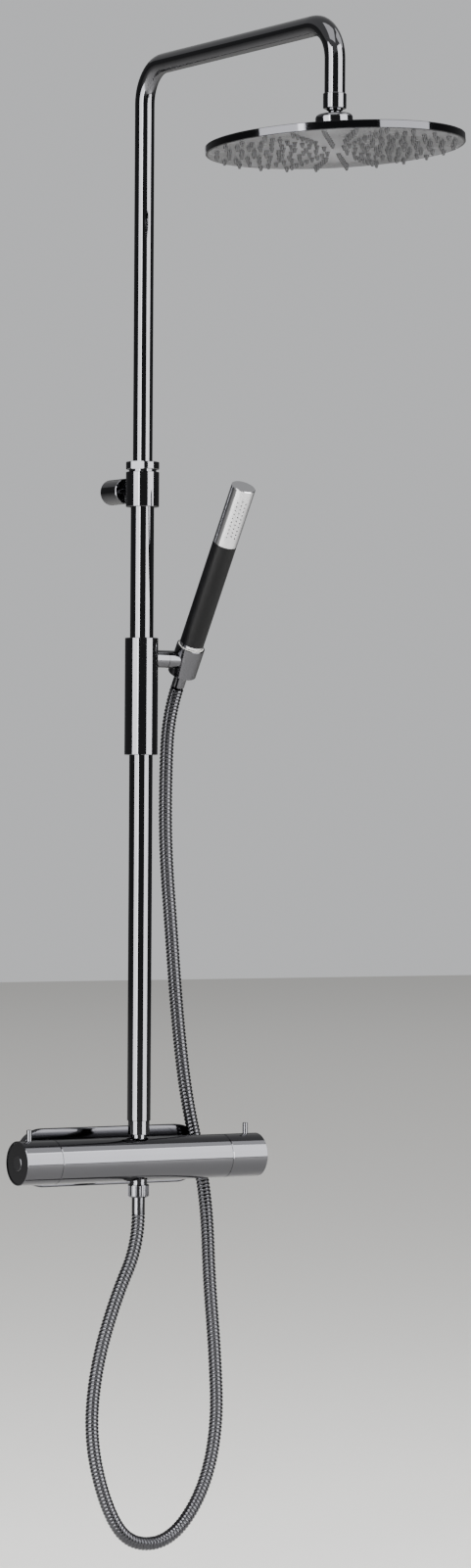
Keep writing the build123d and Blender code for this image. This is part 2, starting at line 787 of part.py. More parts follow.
disc_floor = DISC_TOP - DISC_THICK
mat_foot = disc_floor + SHEET
mat_top = mat_foot + MAT_THICK
plate_foot = DISC_TOP - SHEET

with BuildPart() as head_shell:
    add(
        turned(
            [HEAD_AXIS],
            [
                (DISC_TOP, WATERWAY_R),
                (DISC_TOP, DISC_R - EDGE),
                (DISC_TOP - EDGE, DISC_R),
                (disc_floor + EDGE, DISC_R),
                (disc_floor, DISC_R - EDGE),
                (disc_floor, DISC_R - SHEET),
                (plate_foot, DISC_R - SHEET),
                (plate_foot, WATERWAY_R),
            ],
            "shell",
        ).part
    )
    with BuildSketch(HEAD.offset(plate_foot)):
        with PolarLocations(POST_OUT, POSTS, start_angle=SPOKE_TURN + POST_TURN):
            Circle(POST_R)
    extrude(amount=mat_top - plate_foot)
head_shell.part.label = "head_shell"

nozzle_spots = []
innermost = [NOZZLE_LONG_END, NOZZLE_SHORT_END, NOZZLE_MIDDLE_END, NOZZLE_SHORT_END]
for spoke in range(SPOKES):
    angle = math.radians(SPOKE_TURN + spoke * 360 / SPOKES)
    spoke_run = NOZZLE_RIM_R - innermost[spoke % 4]
    for step in range(math.floor(spoke_run / NOZZLE_PITCH) + 1):
        out = NOZZLE_RIM_R - step * NOZZLE_PITCH
        nozzle_spots.append((out * math.cos(angle), out * math.sin(angle)))

with BuildPart() as head_face_plate:
    with BuildSketch(HEAD.offset(disc_floor)):
        Circle(DISC_R - SHEET - FIT)
        with Locations(*nozzle_spots):
            Circle(NOZZLE_R + FIT, mode=Mode.SUBTRACT)
    extrude(amount=SHEET)
head_face_plate.part.label = "head_face_plate"

with BuildPart() as nozzle_mat:
    with BuildSketch(HEAD.offset(mat_foot)):
        Circle(DISC_R - SHEET - 2 * FIT)
    extrude(amount=MAT_THICK)
    with BuildSketch(HEAD.offset(mat_foot)):
        with Locations(*nozzle_spots):
            Circle(NOZZLE_R)
    extrude(amount=-SHEET)
    face_down = Plane(
        origin=HEAD.offset(disc_floor).origin, x_dir=HEAD.x_dir, z_dir=-HEAD.z_dir
    )
    on_end = (Align.CENTER, Align.CENTER, Align.MIN)
    with Locations(face_down):
        with Locations(*[(x, -y) for x, y in nozzle_spots]):
            Cone(NOZZLE_R, NOZZLE_TIP, NOZZLE_OUT, align=on_end)
nozzle_mat.part.label = "nozzle_mat"

# --------------------------------------------------------------------------- slider
slider_top = SLIDER_Z + SLIDER_HEIGHT
across = Plane(origin=(0, -BAR_OUT, HOLDER_ARM_Z), x_dir=(0, 1, 0), z_dir=(1, 0, 0))
shoe_z = SLIDER_Z + SLIDER_HEIGHT / 2
shoe_face = Plane(origin=(0, -BAR_OUT, shoe_z), x_dir=(1, 0, 0), z_dir=(0, 1, 0))

with BuildPart() as slider_sleeve:
    add(
        turned(
            [UP],
            [
                (SLIDER_Z, SLIDER_BORE),
                (SLIDER_Z, SLIDER_R - EDGE),
                (SLIDER_Z + EDGE, SLIDER_R),
                (slider_top - EDGE, SLIDER_R),
                (slider_top, SLIDER_R - EDGE),
                (slider_top, SLIDER_BORE),
            ],
            "sleeve",
        ).part
    )
    add(rod(across, HOLDER_ARM_R + FIT, HOLDER_ARM_ROOT, SLIDER_R + 1), mode=Mode.SUBTRACT)
    with BuildSketch(shoe_face.offset(TUBE_R)):
        Rectangle(SHOE_SIZE[0] + 2 * FIT, SHOE_SIZE[1] + 2 * FIT)
    extrude(amount=SHOE_OUT - TUBE_R, mode=Mode.SUBTRACT)
slider_sleeve.part.label = "slider_sleeve"

with BuildPart() as slider_bushes:
    for foot in (SLIDER_Z + BUSH_INSET, slider_top - BUSH_INSET - BUSH_LENGTH):
        with BuildSketch(riser_floor.offset(foot)):
            Circle(SLIDER_BORE - FIT)
            Circle(TUBE_R + RUN, mode=Mode.SUBTRACT)
        extrude(amount=BUSH_LENGTH)
slider_bushes.part.label = "slider_bushes"

with BuildPart() as slider_brake_shoe:
    with BuildSketch(shoe_face.offset(TUBE_R - 2)):
        Rectangle(*SHOE_SIZE)
    extrude(amount=SHOE_OUT - TUBE_R + 2)
    add(rod(riser_floor, TUBE_R + RUN, 0, slider_top), mode=Mode.SUBTRACT)
slider_brake_shoe.part.label = "slider_brake_shoe"

boss_face = HOLDER_ARM_END + GAP
cup_bore = CUP_R - CUP_WALL
pin_head = HOLDER_X - cup_bore - 2.6

with BuildPart() as holder_arm:
    add(rod(across, HOLDER_ARM_R, HOLDER_ARM_ROOT, HOLDER_ARM_END))
    add(rod(across, HOLDER_PIN_R + FIT, HOLDER_ARM_ROOT + 2, HOLDER_ARM_END), mode=Mode.SUBTRACT)
holder_arm.part.label = "holder_arm"

with BuildPart() as holder_pivot_pin:
    add(rod(across, HOLDER_PIN_R, HOLDER_ARM_ROOT + 2, pin_head))
    add(rod(across, HOLDER_PIN_R + 2, pin_head, pin_head + 2))
holder_pivot_pin.part.label = "holder_pivot_pin"

# --------------------------------------------------------------------------- holder
cup_floor = -CUP_HALF + CUP_LIP
cone_rise = (CONE_WIDE - CONE_NARROW) / (CUP_HALF - cup_floor)

with BuildPart() as holder_cup:
    add(rod(across, HOLDER_ARM_R, boss_face, HOLDER_X - 4))
    add(
        turned(
            [HAND_AXIS],
            [
                (-CUP_HALF, 0),
                (-CUP_HALF, CUP_R - EDGE),
                (-CUP_HALF + EDGE, CUP_R),
                (CUP_HALF - EDGE, CUP_R),
                (CUP_HALF, CUP_R - EDGE),
                (CUP_HALF, 0),
            ],
            "cup",
        ).part
    )
    add(rod(HAND, cup_bore, cup_floor, CUP_HALF), mode=Mode.SUBTRACT)
    add(rod(HAND, CONE_NARROW + 1, -CUP_HALF, 0), mode=Mode.SUBTRACT)
    add(rod(across, HOLDER_PIN_R + RUN, boss_face, HOLDER_X), mode=Mode.SUBTRACT)
    add(rod(across, HOLDER_PIN_R + 2 + RUN, pin_head - 0.1, HOLDER_X), mode=Mode.SUBTRACT)
holder_cup.part.label = "holder_cup"

holder_liner = turned(
    [HAND_AXIS],
    [
        (cup_floor, CONE_NARROW),
        (cup_floor, cup_bore - FIT),
        (CUP_HALF, cup_bore - FIT),
        (CUP_HALF, CONE_WIDE),
    ],
    "holder_liner",
)

# ---------------------------------------------------------------------- hand shower
cone_foot = -13.0
nut_floor = -2.0
nipple_r = NIPPLE_R - FIT
cone_clear = 0.1

hand_cone_nut = turned(
    [HAND_AXIS],
    [
        (cone_foot, FERRULE_R + FIT),
        (cone_foot, CONE_NARROW + (cone_foot - cup_floor) * cone_rise - cone_clear),
        (CUP_HALF, CONE_WIDE - cone_clear),
        (HAND_FOOT, CONE_WIDE - cone_clear),
        (HAND_FOOT, nipple_r + FIT),
        (nut_floor, nipple_r + FIT),
        (nut_floor, FERRULE_R + FIT),
    ],
    "hand_cone_nut",
)
hose_ferrule_upper = turned(
    [HAND_AXIS],
    [
        (HAND_FERRULE_END, WATERWAY_R),
        (HAND_FERRULE_END, FERRULE_R),
        (nut_floor, FERRULE_R),
        (nut_floor, nipple_r),
        (nut_floor + 2, nipple_r),
        (nut_floor + 2, WATERWAY_R),
    ],
    "hose_ferrule_upper",
)
hand_core_tube = turned(
    [HAND_AXIS],
    [
        (nut_floor + 2, NIPPLE_BORE),
        (nut_floor + 2, nipple_r),
        (HAND_FOOT, nipple_r),
        (HAND_FOOT, CORE_R),
        (GRIP_TOP + 3, CORE_R),
        (GRIP_TOP + 3, CORE_R - 1.5),
        (HAND_FOOT + 3, CORE_R - 1.5),
        (HAND_FOOT + 3, NIPPLE_BORE),
    ],
    "hand_core_tube",
)
hand_base_ring = turned(
    [HAND_AXIS],
    [
        (HAND_FOOT, CORE_R + FIT),
        (HAND_FOOT, HAND_R - EDGE),
        (HAND_FOOT + EDGE, HAND_R),
        (HAND_FOOT + HAND_RING, HAND_R),
        (HAND_FOOT + HAND_RING, CORE_R + FIT),
    ],
    "hand_base_ring",
)
hand_grip = turned(
    [HAND_AXIS],
    [
        (HAND_FOOT + HAND_RING, CORE_R + FIT),
        (HAND_FOOT + HAND_RING, HAND_R - 0.2),
        (HAND_FOOT + HAND_RING + 0.2, HAND_R),
        (GRIP_TOP - 0.2, HAND_R),
        (GRIP_TOP, HAND_R - 0.2),
        (GRIP_TOP, CORE_R + FIT),
    ],
    "hand_grip",
)

head_bore = HAND_R - HEAD_WALL
cap_foot = HAND_TOP - HAND_CAP
cap_plug = cap_foot - CAP_PLUG
spray_middle = (GRIP_TOP + cap_foot) / 2
spray_planes = []
for row in range(SPRAY_ROWS):
    turn = math.radians(SPRAY_TURN + (row - 1) * SPRAY_ROW_TURN)
    outward = -HAND.y_dir * math.cos(turn) - HAND.x_dir * math.sin(turn)
    shift = SPRAY_PITCH / 2 if row == 1 else 0
    for hole in range(SPRAY_HOLES):
        along = spray_middle + (hole - (SPRAY_HOLES - 1) / 2) * SPRAY_PITCH + shift
        spot = HAND.origin + HAND.z_dir * along
        spray_planes.append(Plane(origin=spot, x_dir=HAND.z_dir, z_dir=outward))

with BuildPart() as hand_spray_tube:
    with BuildSketch(HAND.offset(GRIP_TOP)):
        Circle(HAND_R)
        Circle(head_bore, mode=Mode.SUBTRACT)
    extrude(amount=cap_foot - GRIP_TOP)
    for plane in spray_planes:
        with BuildSketch(plane.offset(CORE_R)):
            Circle(SPRAY_HOLE_R + FIT)
        extrude(amount=HAND_R - CORE_R + 1, mode=Mode.SUBTRACT)
hand_spray_tube.part.label = "hand_spray_tube"

with BuildPart() as spray_insert:
    with BuildSketch(HAND.offset(GRIP_TOP)):
        Circle(head_bore - FIT)
        Circle(CORE_R + FIT, mode=Mode.SUBTRACT)
    extrude(amount=cap_plug - GRIP_TOP)
    for plane in spray_planes:
        with BuildSketch(plane.offset(CORE_R + 1)):
            Circle(SPRAY_HOLE_R)
        extrude(amount=HAND_R - CORE_R - 0.8)
spray_insert.part.label = "spray_insert"

hand_cap = turned(
    [HAND_AXIS],
    [
        (cap_plug, 0),
        (cap_plug, head_bore - FIT),
        (cap_foot, head_bore - FIT),
        (cap_foot, HAND_R),
        (HAND_TOP - EDGE, HAND_R),
        (HAND_TOP, HAND_R - EDGE),
        (HAND_TOP, 0),
    ],
    "hand_cap",
)

# -------------------------------------------------------------- hose and its lower end
outlet_face = -HOSE_NUT_Z
outlet_end = outlet_face + OUTLET_SPIGOT
groove_start = outlet_face - 2.6
groove_end = groove_start + OUTLET_GROOVE
groove_r = OUTLET_R - 0.8
nut_inner = outlet_face + HOSE_NUT_LENGTH - HOSE_NUT_LIP
lower_lip = outlet_face + HOSE_NUT_LENGTH
ferrule_end = lower_lip + FERRULE_LENGTH
washer_end = outlet_end + THIN_WASHER

hand_outlet_nipple = turned(
    [DOWN],
    [
        (NIPPLE_SEAT, NIPPLE_BORE),
        (NIPPLE_SEAT, OUTLET_R),
        (groove_start, OUTLET_R),
        (groove_start, groove_r),
        (groove_end, groove_r),
        (groove_end, OUTLET_R),
        (outlet_face, OUTLET_R),
        (outlet_face, NIPPLE_R),
        (outlet_end, NIPPLE_R),
        (outlet_end, NIPPLE_BORE),
    ],
    "hand_outlet_nipple",
)

with BuildPart() as hose_nut:
    add(
        turned(
            [DOWN],
            [
                (outlet_face, NIPPLE_R + FIT),
                (outlet_face, HOSE_NUT_R - EDGE),
                (outlet_face + EDGE, HOSE_NUT_R),
                (lower_lip - HOSE_NUT_BEVEL, HOSE_NUT_R),
                (lower_lip, HOSE_NUT_R - HOSE_NUT_BEVEL),
                (lower_lip, FERRULE_R + FIT),
                (nut_inner, FERRULE_R + FIT),
                (nut_inner, NIPPLE_R + FIT),
            ],
            "nut",
        ).part
    )
    with BuildSketch(riser_ceiling.offset(-HOSE_NUT_Z + 1)):
        with PolarLocations(HOSE_NUT_R + FLUTE_OUT, HOSE_NUT_FLUTES):
            Circle(FLUTE_R)
    extrude(amount=HOSE_NUT_LENGTH - HOSE_NUT_LIP, mode=Mode.SUBTRACT)
hose_nut.part.label = "hose_nut"

hose_ferrule_lower = turned(
    [DOWN],
    [
        (washer_end, WATERWAY_R),
        (washer_end, NIPPLE_R - FIT),
        (nut_inner, NIPPLE_R - FIT),
        (nut_inner, FERRULE_R),
        (ferrule_end, FERRULE_R),
        (ferrule_end, WATERWAY_R),
    ],
    "hose_ferrule_lower",
)

# fibre washers at the two inlets, under the riser and in the hose nut
inlet_washer = [
    (flange_front, GALLERY_R + 1),
    (flange_front, STUB_R),
    (STUB_FACE, STUB_R),
    (STUB_FACE, GALLERY_R + 1),
]
riser_washer = [
    (nipple_end, NIPPLE_BORE),
    (nipple_end, NIPPLE_R - FIT),
    (plug_start, NIPPLE_R - FIT),
    (plug_start, NIPPLE_BORE),
]
hose_washer = [
    (outlet_end, NIPPLE_BORE),
    (outlet_end, NIPPLE_R - FIT),
    (washer_end, NIPPLE_R - FIT),
    (washer_end, NIPPLE_BORE),
]
with BuildPart() as fibre_washers:
    add(turned(INLETS, inlet_washer, "inlets").part)
    add(turned([UP], riser_washer, "riser").part)
    add(turned([DOWN], hose_washer, "hose").part)
fibre_washers.part.label = "fibre_washers"

# The hose hangs from the bar in a loop, passes behind the bar's right part, in front of the
# wall cover, and rises to the hand shower.
hose_top = HAND.origin + HAND.z_dir * HAND_FERRULE_END
hose_points = [
    Vector(0, -62, -56),
    Vector(0, -62, -88),
    Vector(-27, -62, -142),
    Vector(-50, -62, -212),
    Vector(-56, -62, -284),
    Vector(-36, -62, -356),
    Vector(-8, -62, -394),
    Vector(41, -62, -394),
    Vector(81, -60, -348),
    Vector(99, -59, -282),
    Vector(98, -55, -204),
    Vector(98, -43, -130),
    Vector(105, -27, -62),
    Vector(101, -18, -6),
    Vector(84, -18, 58),
    Vector(72, -19, 142),
    Vector(63, -21, 230),
    Vector(54.5, -22, 316),
    Vector(53, -24, 392),
    HAND.origin + HAND.z_dir * (HAND_FERRULE_END - HOSE_LAST_RUN),
    hose_top,
]
arc_radii = []
for before, here, after in zip(hose_points, hose_points[1:], hose_points[2:]):
    arriving = here - before
    leaving = after - here
    half_turn = math.radians(arriving.get_angle(leaving)) / 2
    shorter = min(arriving.length, leaving.length)
    arc_radii.append(0.45 * shorter / math.tan(half_turn))

with BuildPart() as shower_hose:
    with BuildLine() as hose_run:
        FilletPolyline(*hose_points, radius=arc_radii)
    with BuildSketch(Plane(origin=hose_run.line @ 0, z_dir=hose_run.line % 0)):
        Circle(HOSE_R)
    sweep()
shower_hose.part.label = "shower_hose"

hose_length = sum(edge.length for edge in hose_run.edges())
print("hose radii", [round(radius) for radius in arc_radii])
print("hose length", round(hose_length, 1))
print("hose volume", round(shower_hose.part.volume), round(math.pi * HOSE_R**2 * hose_length))

pieces = [
    wall_plate_cover,
    wall_plate_backing,
    inlet_couplers,
    inlet_union_nuts,
    check_valves,
    fibre_washers,
    mixer_body,
    thermostat_cartridge,
    flow_cartridge,
    cartridge_nuts,
    temperature_knob,
    temperature_peg,
    temperature_cap,
    thermostat_spindle,
    flow_knob,
    flow_peg,
    flow_cap,
    flow_spindle,
    riser_outlet_nipple,
    riser_base_nut,
    riser_foot_plug,
    lower_tube,
    collar_body,
    collar_lock_nut,
    collar_clamp_ring,
    bracket_foot_drilled,
    bracket_set_screw,
    bracket_barrel,
    bracket_spindle,
    upper_pipe,
    pipe_foot_plug,
    riser_guide_bush,
    head_nut,
    head_washer,
    swivel_ball,
    ball_seat_ring,
    head_flange,
    head_shell,
    head_face_plate,
    nozzle_mat,
    slider_sleeve,
    slider_bushes,
    slider_brake_shoe,
    holder_arm,
    holder_pivot_pin,
    holder_cup,
    holder_liner,
    hand_cone_nut,
    hose_ferrule_upper,
    hand_core_tube,
    hand_base_ring,
    hand_grip,
    hand_spray_tube,
    spray_insert,
    hand_cap,
    hand_outlet_nipple,
    hose_nut,
    hose_ferrule_lower,
    shower_hose,
]
for piece in pieces:
    export_step(piece.part, f"parts/{piece.part.label}.step")
print(len(pieces), "pieces")
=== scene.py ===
"""Looks of a thermostatic rain-shower column, laid over its CAD pieces.

Metres, +Z up. The origin lies on the wall, midway between the two water inlets, and the
column stands out from the wall towards -Y.
"""

import math

import bpy
import numpy as np
from mathutils import Matrix, Vector


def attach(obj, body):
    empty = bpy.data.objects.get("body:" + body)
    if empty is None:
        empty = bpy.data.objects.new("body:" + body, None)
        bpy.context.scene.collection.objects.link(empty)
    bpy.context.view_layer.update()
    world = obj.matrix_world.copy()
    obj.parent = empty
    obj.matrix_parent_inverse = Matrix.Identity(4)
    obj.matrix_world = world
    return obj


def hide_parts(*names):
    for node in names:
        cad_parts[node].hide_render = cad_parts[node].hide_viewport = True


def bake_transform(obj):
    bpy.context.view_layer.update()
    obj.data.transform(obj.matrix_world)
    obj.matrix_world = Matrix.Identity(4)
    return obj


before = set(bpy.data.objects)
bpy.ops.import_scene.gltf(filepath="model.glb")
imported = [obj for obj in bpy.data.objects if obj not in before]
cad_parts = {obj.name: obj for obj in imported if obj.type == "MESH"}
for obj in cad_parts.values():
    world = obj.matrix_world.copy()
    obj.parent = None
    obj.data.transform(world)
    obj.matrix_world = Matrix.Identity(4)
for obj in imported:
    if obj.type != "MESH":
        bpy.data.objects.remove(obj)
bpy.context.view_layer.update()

# ------------------------------------------------------------------------- mixer bar
# The bar is a turned brass casting, polished and coated with a thin black-chrome film.
# The film is smooth and dark, so it mirrors the room with only a tenth of its light, and
# the polishing wheel leaves very fine rings around the bar.


def linear(code):
    """An sRGB hex colour as linear RGBA."""
    parts = [int(code[i : i + 2], 16) / 255 for i in (1, 3, 5)]
    return [c / 12.92 if c <= 0.04045 else ((c + 0.055) / 1.055) ** 2.4 for c in parts] + [1]


def node(tree, kind, settings=(), **links):
    """A shader node with its settings, by name or socket number, and what feeds it."""
    made = tree.nodes.new(kind)
    for key, value in dict(settings).items():
        if isinstance(key, int) or key in made.inputs:
            made.inputs[key].default_value = value
        else:
            setattr(made, key, value)
    for key, source in links.items():
        socket = int(key[1:]) if key[1:].isdigit() else key
        tree.links.new(source, made.inputs[socket])
    return made


def plated(name, film, cloudy, polish, lines, depth):
    """Polished plated metal with wheel marks, smears and a few dried water spots.

    film and cloudy are its two tones, polish is its roughness, lines the number of wheel
    marks per metre along X, Y and Z, and depth how deep they cut."""
    material = bpy.data.materials.new(name)
    material.use_nodes = True
    tree = material.node_tree
    shader = tree.nodes["Principled BSDF"]
    shader.inputs["Metallic"].default_value = 1.0
    place = node(tree, "ShaderNodeTexCoord").outputs["Object"]
    smear = node(tree, "ShaderNodeTexNoise", {"Scale": 9.0, "Detail": 5.0}, Vector=place)
    tone = node(
        tree,
        "ShaderNodeMix",
        {"data_type": "RGBA", 6: linear(film), 7: linear(cloudy)},
        _0=smear.outputs["Fac"],
    )
    tree.links.new(tone.outputs[2], shader.inputs["Base Color"])

    stretch = node(tree, "ShaderNodeVectorMath", {"operation": "MULTIPLY", 1: lines}, _0=place)
    marks = node(
        tree, "ShaderNodeTexNoise", {"Scale": 1.0, "Detail": 3.0}, Vector=stretch.outputs[0]
    )
    spots = node(tree, "ShaderNodeTexVoronoi", {"Scale": 90.0}, Vector=place)
    dried = node(
        tree,
        "ShaderNodeMapRange",
        {"From Min": 0.30, "From Max": 0.18, "To Min": 0.0, "To Max": 1.0},
        Value=spots.outputs["Distance"],
    )
    chosen = node(
        tree, "ShaderNodeMath", {"operation": "GREATER_THAN", 1: 0.86}, _0=spots.outputs["Color"]
    )
    scale = node(
        tree, "ShaderNodeMath", {"operation": "MULTIPLY"}, _0=dried.outputs[0], _1=chosen.outputs[0]
    )
    dull = node(
        tree,
        "ShaderNodeMapRange",
        {"From Min": 0.40, "From Max": 0.75, "To Min": polish, "To Max": 2.2 * polish},
        Value=smear.outputs["Fac"],
    )
    rough = node(
        tree,
        "ShaderNodeMath",
        {"operation": "MULTIPLY_ADD", 1: 0.10},
        _0=scale.outputs[0],
        _2=dull.outputs[0],
    )
    tree.links.new(rough.outputs[0], shader.inputs["Roughness"])
    bump = node(
        tree, "ShaderNodeBump", {"Strength": 1.0, "Distance": depth}, Height=marks.outputs["Fac"]
    )
    tree.links.new(bump.outputs[0], shader.inputs["Normal"])
    return material


def finish_of(material, *names):
    """Puts a material on the CAD nodes of those names."""
    for name in names:
        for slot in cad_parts[name].material_slots:
            slot.material = material


bar_chrome = plated("black_chrome_bar", "#515154", "#59595c", 0.045, (1300, 60, 60), 4e-7)
finish_of(bar_chrome, "mixer_body", "temperature_knob", "flow_knob")

# ------------------------------------------------------------------- knob pegs and caps
# Each knob carries a small turned peg for the thumb and a pressed-in cap in its end. Both
# have the bar's black chrome, the peg with rings around its own upright axis.

peg_chrome = plated("black_chrome_peg", "#5c5c5f", "#646467", 0.06, (90, 90, 2000), 6e-7)
finish_of(peg_chrome, "temperature_peg", "flow_peg")
cap_chrome = plated("black_chrome_cap", "#5a5a5d", "#646467", 0.12, (90, 900, 900), 1e-6)
finish_of(cap_chrome, "temperature_cap", "flow_cap")

# ------------------------------------------------------------ wall cover and couplings
# A pressed steel cover hides the two supply pipes; hexagonal union nuts hold the bar to them. Sheet
# and nuts are coated like the bar and are a little less polished. Their film is painted darker than
# the bar's, as painted shade for the dimmer light the cover shows behind and under the bar.

# the darker film of the cover and nuts is painted shade, not a darker coating
cover_chrome_painted_shade = plated("black_chrome_sheet", "#3e3e41", "#464649", 0.07, (300, 60, 300), 1e-6)
finish_of(cover_chrome_painted_shade, "wall_plate_cover", "inlet_union_nuts", "inlet_couplers")

# --------------------------------------------------------------------------- riser
# Two drawn brass tubes telescope in one another. Drawing and polishing leave faint lines
# along the tube, which soften the edges of what it mirrors.

tube_chrome = plated("black_chrome_tube", "#5a5a5d", "#626265", 0.045, (1300, 1300, 14), 4e-7)
finish_of(tube_chrome, "lower_tube")
pipe_chrome = plated("black_chrome_pipe", "#5a5a5d", "#626265", 0.045, (900, 40, 300), 4e-7)
finish_of(pipe_chrome, "upper_pipe")

# ---------------------------------------------------------- turned fittings on the riser
# Nuts, collar, wall bracket and slider are turned from brass bar about the riser's axis
# and coated like the rest, with fine rings from the lathe and the wheel.

turned_chrome = plated("black_chrome_turned", "#5c5c5f", "#646467", 0.055, (60, 60, 1500), 6e-7)
finish_of(
    turned_chrome,
    "riser_base_nut",
    "riser_outlet_nipple",
    "riser_foot_plug",
    "collar_body",
    "collar_lock_nut",
    "collar_clamp_ring",
    "slider_sleeve",
    "head_nut",
    "hand_outlet_nipple",
    "hose_nut",
    "hose_ferrule_lower",
    "head_flange",
)
across_chrome = plated("black_chrome_across", "#545457", "#5c5c5f", 0.06, (1300, 1300, 60), 6e-7)
finish_of(
    across_chrome,
    "holder_arm",
    "holder_cup",
    "bracket_barrel",
    "bracket_wall_foot",
    "bracket_spindle",
    "hose_ferrule_upper",
    "hand_cone_nut",
)

# -------------------------------------------------------------------------- rain head
# The disc is a thin brass shell with a polished steel face plate below. The silicone mat
# behind the plate pushes its small soft nozzles through the plate's holes.

shell_chrome = plated("black_chrome_shell", "#404043", "#48484b", 0.05, (240, 240, 240), 6e-7)
finish_of(shell_chrome, "head_shell", "swivel_ball")
face_steel = plated("satin_steel_face", "#b2b2b6", "#bcbcc0", 0.22, (420, 60, 60), 2e-6)
finish_of(face_steel, "head_face_plate")


def moulded(name, colour, cloudy, roughness, grain, depth):
    """Moulded rubber or plastic: two close tones, a fine grain and its roughness."""
    material = bpy.data.materials.new(name)
    material.use_nodes = True
    tree = material.node_tree
    shader = tree.nodes["Principled BSDF"]
    place = node(tree, "ShaderNodeTexCoord").outputs["Object"]
    clouds = node(tree, "ShaderNodeTexNoise", {"Scale": 60.0, "Detail": 3.0}, Vector=place)
    tone = node(
        tree,
        "ShaderNodeMix",
        {"data_type": "RGBA", 6: linear(colour), 7: linear(cloudy)},
        _0=clouds.outputs["Fac"],
    )
    tree.links.new(tone.outputs[2], shader.inputs["Base Color"])
    skin = node(tree, "ShaderNodeTexNoise", {"Scale": grain, "Detail": 2.0}, Vector=place)
    dull = node(
        tree,
        "ShaderNodeMapRange",
        {"To Min": 0.8 * roughness, "To Max": 1.2 * roughness},
        Value=clouds.outputs["Fac"],
    )
    tree.links.new(dull.outputs[0], shader.inputs["Roughness"])
    bump = node(
        tree, "ShaderNodeBump", {"Strength": 1.0, "Distance": depth}, Height=skin.outputs["Fac"]
    )
    tree.links.new(bump.outputs[0], shader.inputs["Normal"])
    return material


nozzle_rubber = moulded("silicone_nozzles", "#1a1a1c", "#232325", 0.45, 1500.0, 2e-5)
finish_of(nozzle_rubber, "nozzle_mat")

# ------------------------------------------------------------------------ hand shower
# A slim stick: a bright chromed tube with spray holes above, a satin black sleeve for the
# hand below, and a bright ring at its foot. It rests in the holder's cone.

bright_chrome = plated("bright_chrome", "#cfcfd2", "#d7d7da", 0.05, (900, 900, 300), 5e-7)
finish_of(bright_chrome, "hand_spray_tube", "hand_cap", "hand_base_ring")
grip_black = moulded("satin_black_grip", "#030304", "#060607", 0.34, 1200.0, 4e-6)
grip_black.node_tree.nodes["Principled BSDF"].inputs["Specular IOR Level"].default_value = 0.2
finish_of(grip_black, "hand_grip")
insert_rubber = moulded("silicone_spray_insert", "#3a3a3c", "#444446", 0.5, 1500.0, 2e-5)
finish_of(insert_rubber, "spray_insert")

# ------------------------------------------------------------------- hidden workings
# Cartridges, valves, washers and guides sit inside the metal and show only at a joint or
# from the wall's side. They are acetal, fibre, plain brass and zinc-plated sheet.

acetal = moulded("white_acetal", "#cfcec8", "#d8d7d1", 0.4, 900.0, 1e-5)
fibre = moulded("red_fibre", "#7a3b2b", "#8a4735", 0.8, 2400.0, 4e-5)
brass = plated("plain_brass", "#b08d4a", "#bd9a55", 0.22, (400, 400, 400), 4e-6)
zinc = plated("zinc_plate", "#9b9ea3", "#a9acb0", 0.30, (160, 160, 160), 6e-6)
for name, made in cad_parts.items():
    kept = made.material_slots[0].material.name if made.material_slots else ""
    for word, material in (("acetal", acetal), ("fibre", fibre), ("brass", brass), ("zinc", zinc)):
        if kept.startswith(word):
            finish_of(material, name)

# ------------------------------------------------------------------------------ hose
# A flexible hose of wound metal strip, coated like the column. It is screwed to the
# bar's outlet, hangs in a loop, passes behind the bar and ends at the hand shower.
HOSE_R = 0.007
HOSE_PITCH = 0.0038
HOSE_AROUND = 20
ABOVE_BAR = 0.066  # heights where the rising end passes from one piece of it to the next
BELOW_SLIDER = 0.360
IN_HOLDER = 0.452
HOSE_ROUTE = [
    (0, -0.062, -0.056),
    (0, -0.062, -0.088),
    (-0.027, -0.062, -0.142),
    (-0.050, -0.062, -0.212),
    (-0.056, -0.062, -0.284),
    (-0.036, -0.062, -0.356),
    (-0.008, -0.062, -0.394),
    (0.041, -0.062, -0.394),
    (0.081, -0.060, -0.348),
    (0.099, -0.059, -0.282),
    (0.098, -0.055, -0.204),
    (0.098, -0.043, -0.130),
    (0.105, -0.027, -0.062),
    (0.101, -0.018, -0.006),
    (0.084, -0.018, 0.058),
    (0.072, -0.019, 0.142),
    (0.063, -0.021, 0.230),
    (0.0545, -0.022, 0.316),
    (0.053, -0.024, 0.392),
    (0.054, -0.027555, 0.455877),
    (0.054, -0.045573, 0.484711),
]
route = bpy.data.curves.new("hose_route", "CURVE")
route.dimensions = "3D"
route.resolution_u = 32
spline = route.splines.new("NURBS")
spline.points.add(len(HOSE_ROUTE) - 1)
for point, spot in zip(spline.points, HOSE_ROUTE):
    point.co = (*spot, 1.0)
spline.order_u = 3
spline.use_endpoint_u = True
route_object = bpy.data.objects.new("hose_route", route)
bpy.context.scene.collection.objects.link(route_object)
bpy.context.view_layer.update()
route_mesh = bpy.data.meshes.new_from_object(route_object)
hose_line = np.array([v.co for v in route_mesh.vertices])
bpy.data.objects.remove(route_object)

hose_reach = np.concatenate([[0], np.cumsum(np.linalg.norm(np.diff(hose_line, axis=0), axis=1))])
hose_length = float(hose_reach[-1])
forward = np.gradient(hose_line, hose_reach, axis=0)
forward /= np.linalg.norm(forward, axis=1, keepdims=True)
side = np.zeros_like(forward)
side[0] = (1, 0, 0)
for i in range(1, len(side)):
    side[i] = side[i - 1] - forward[i] * (side[i - 1] @ forward[i])
    side[i] /= np.linalg.norm(side[i])
over = np.cross(forward, side)

# one turn of the strip, as (share of the pitch, radius): a rounded band and a groove
strip = [
    (0.0, 0.0062),
    (0.14, 0.0067),
    (0.32, HOSE_R),
    (0.56, HOSE_R),
    (0.74, 0.0067),
    (0.88, 0.0062),
]
rows = int(hose_length / HOSE_PITCH) * len(strip)


def along(values, at):
    """Values kept for the points of the hose's line, read at distances along it."""
    return np.stack([np.interp(at, hose_reach, values[:, k]) for k in range(3)], axis=1)


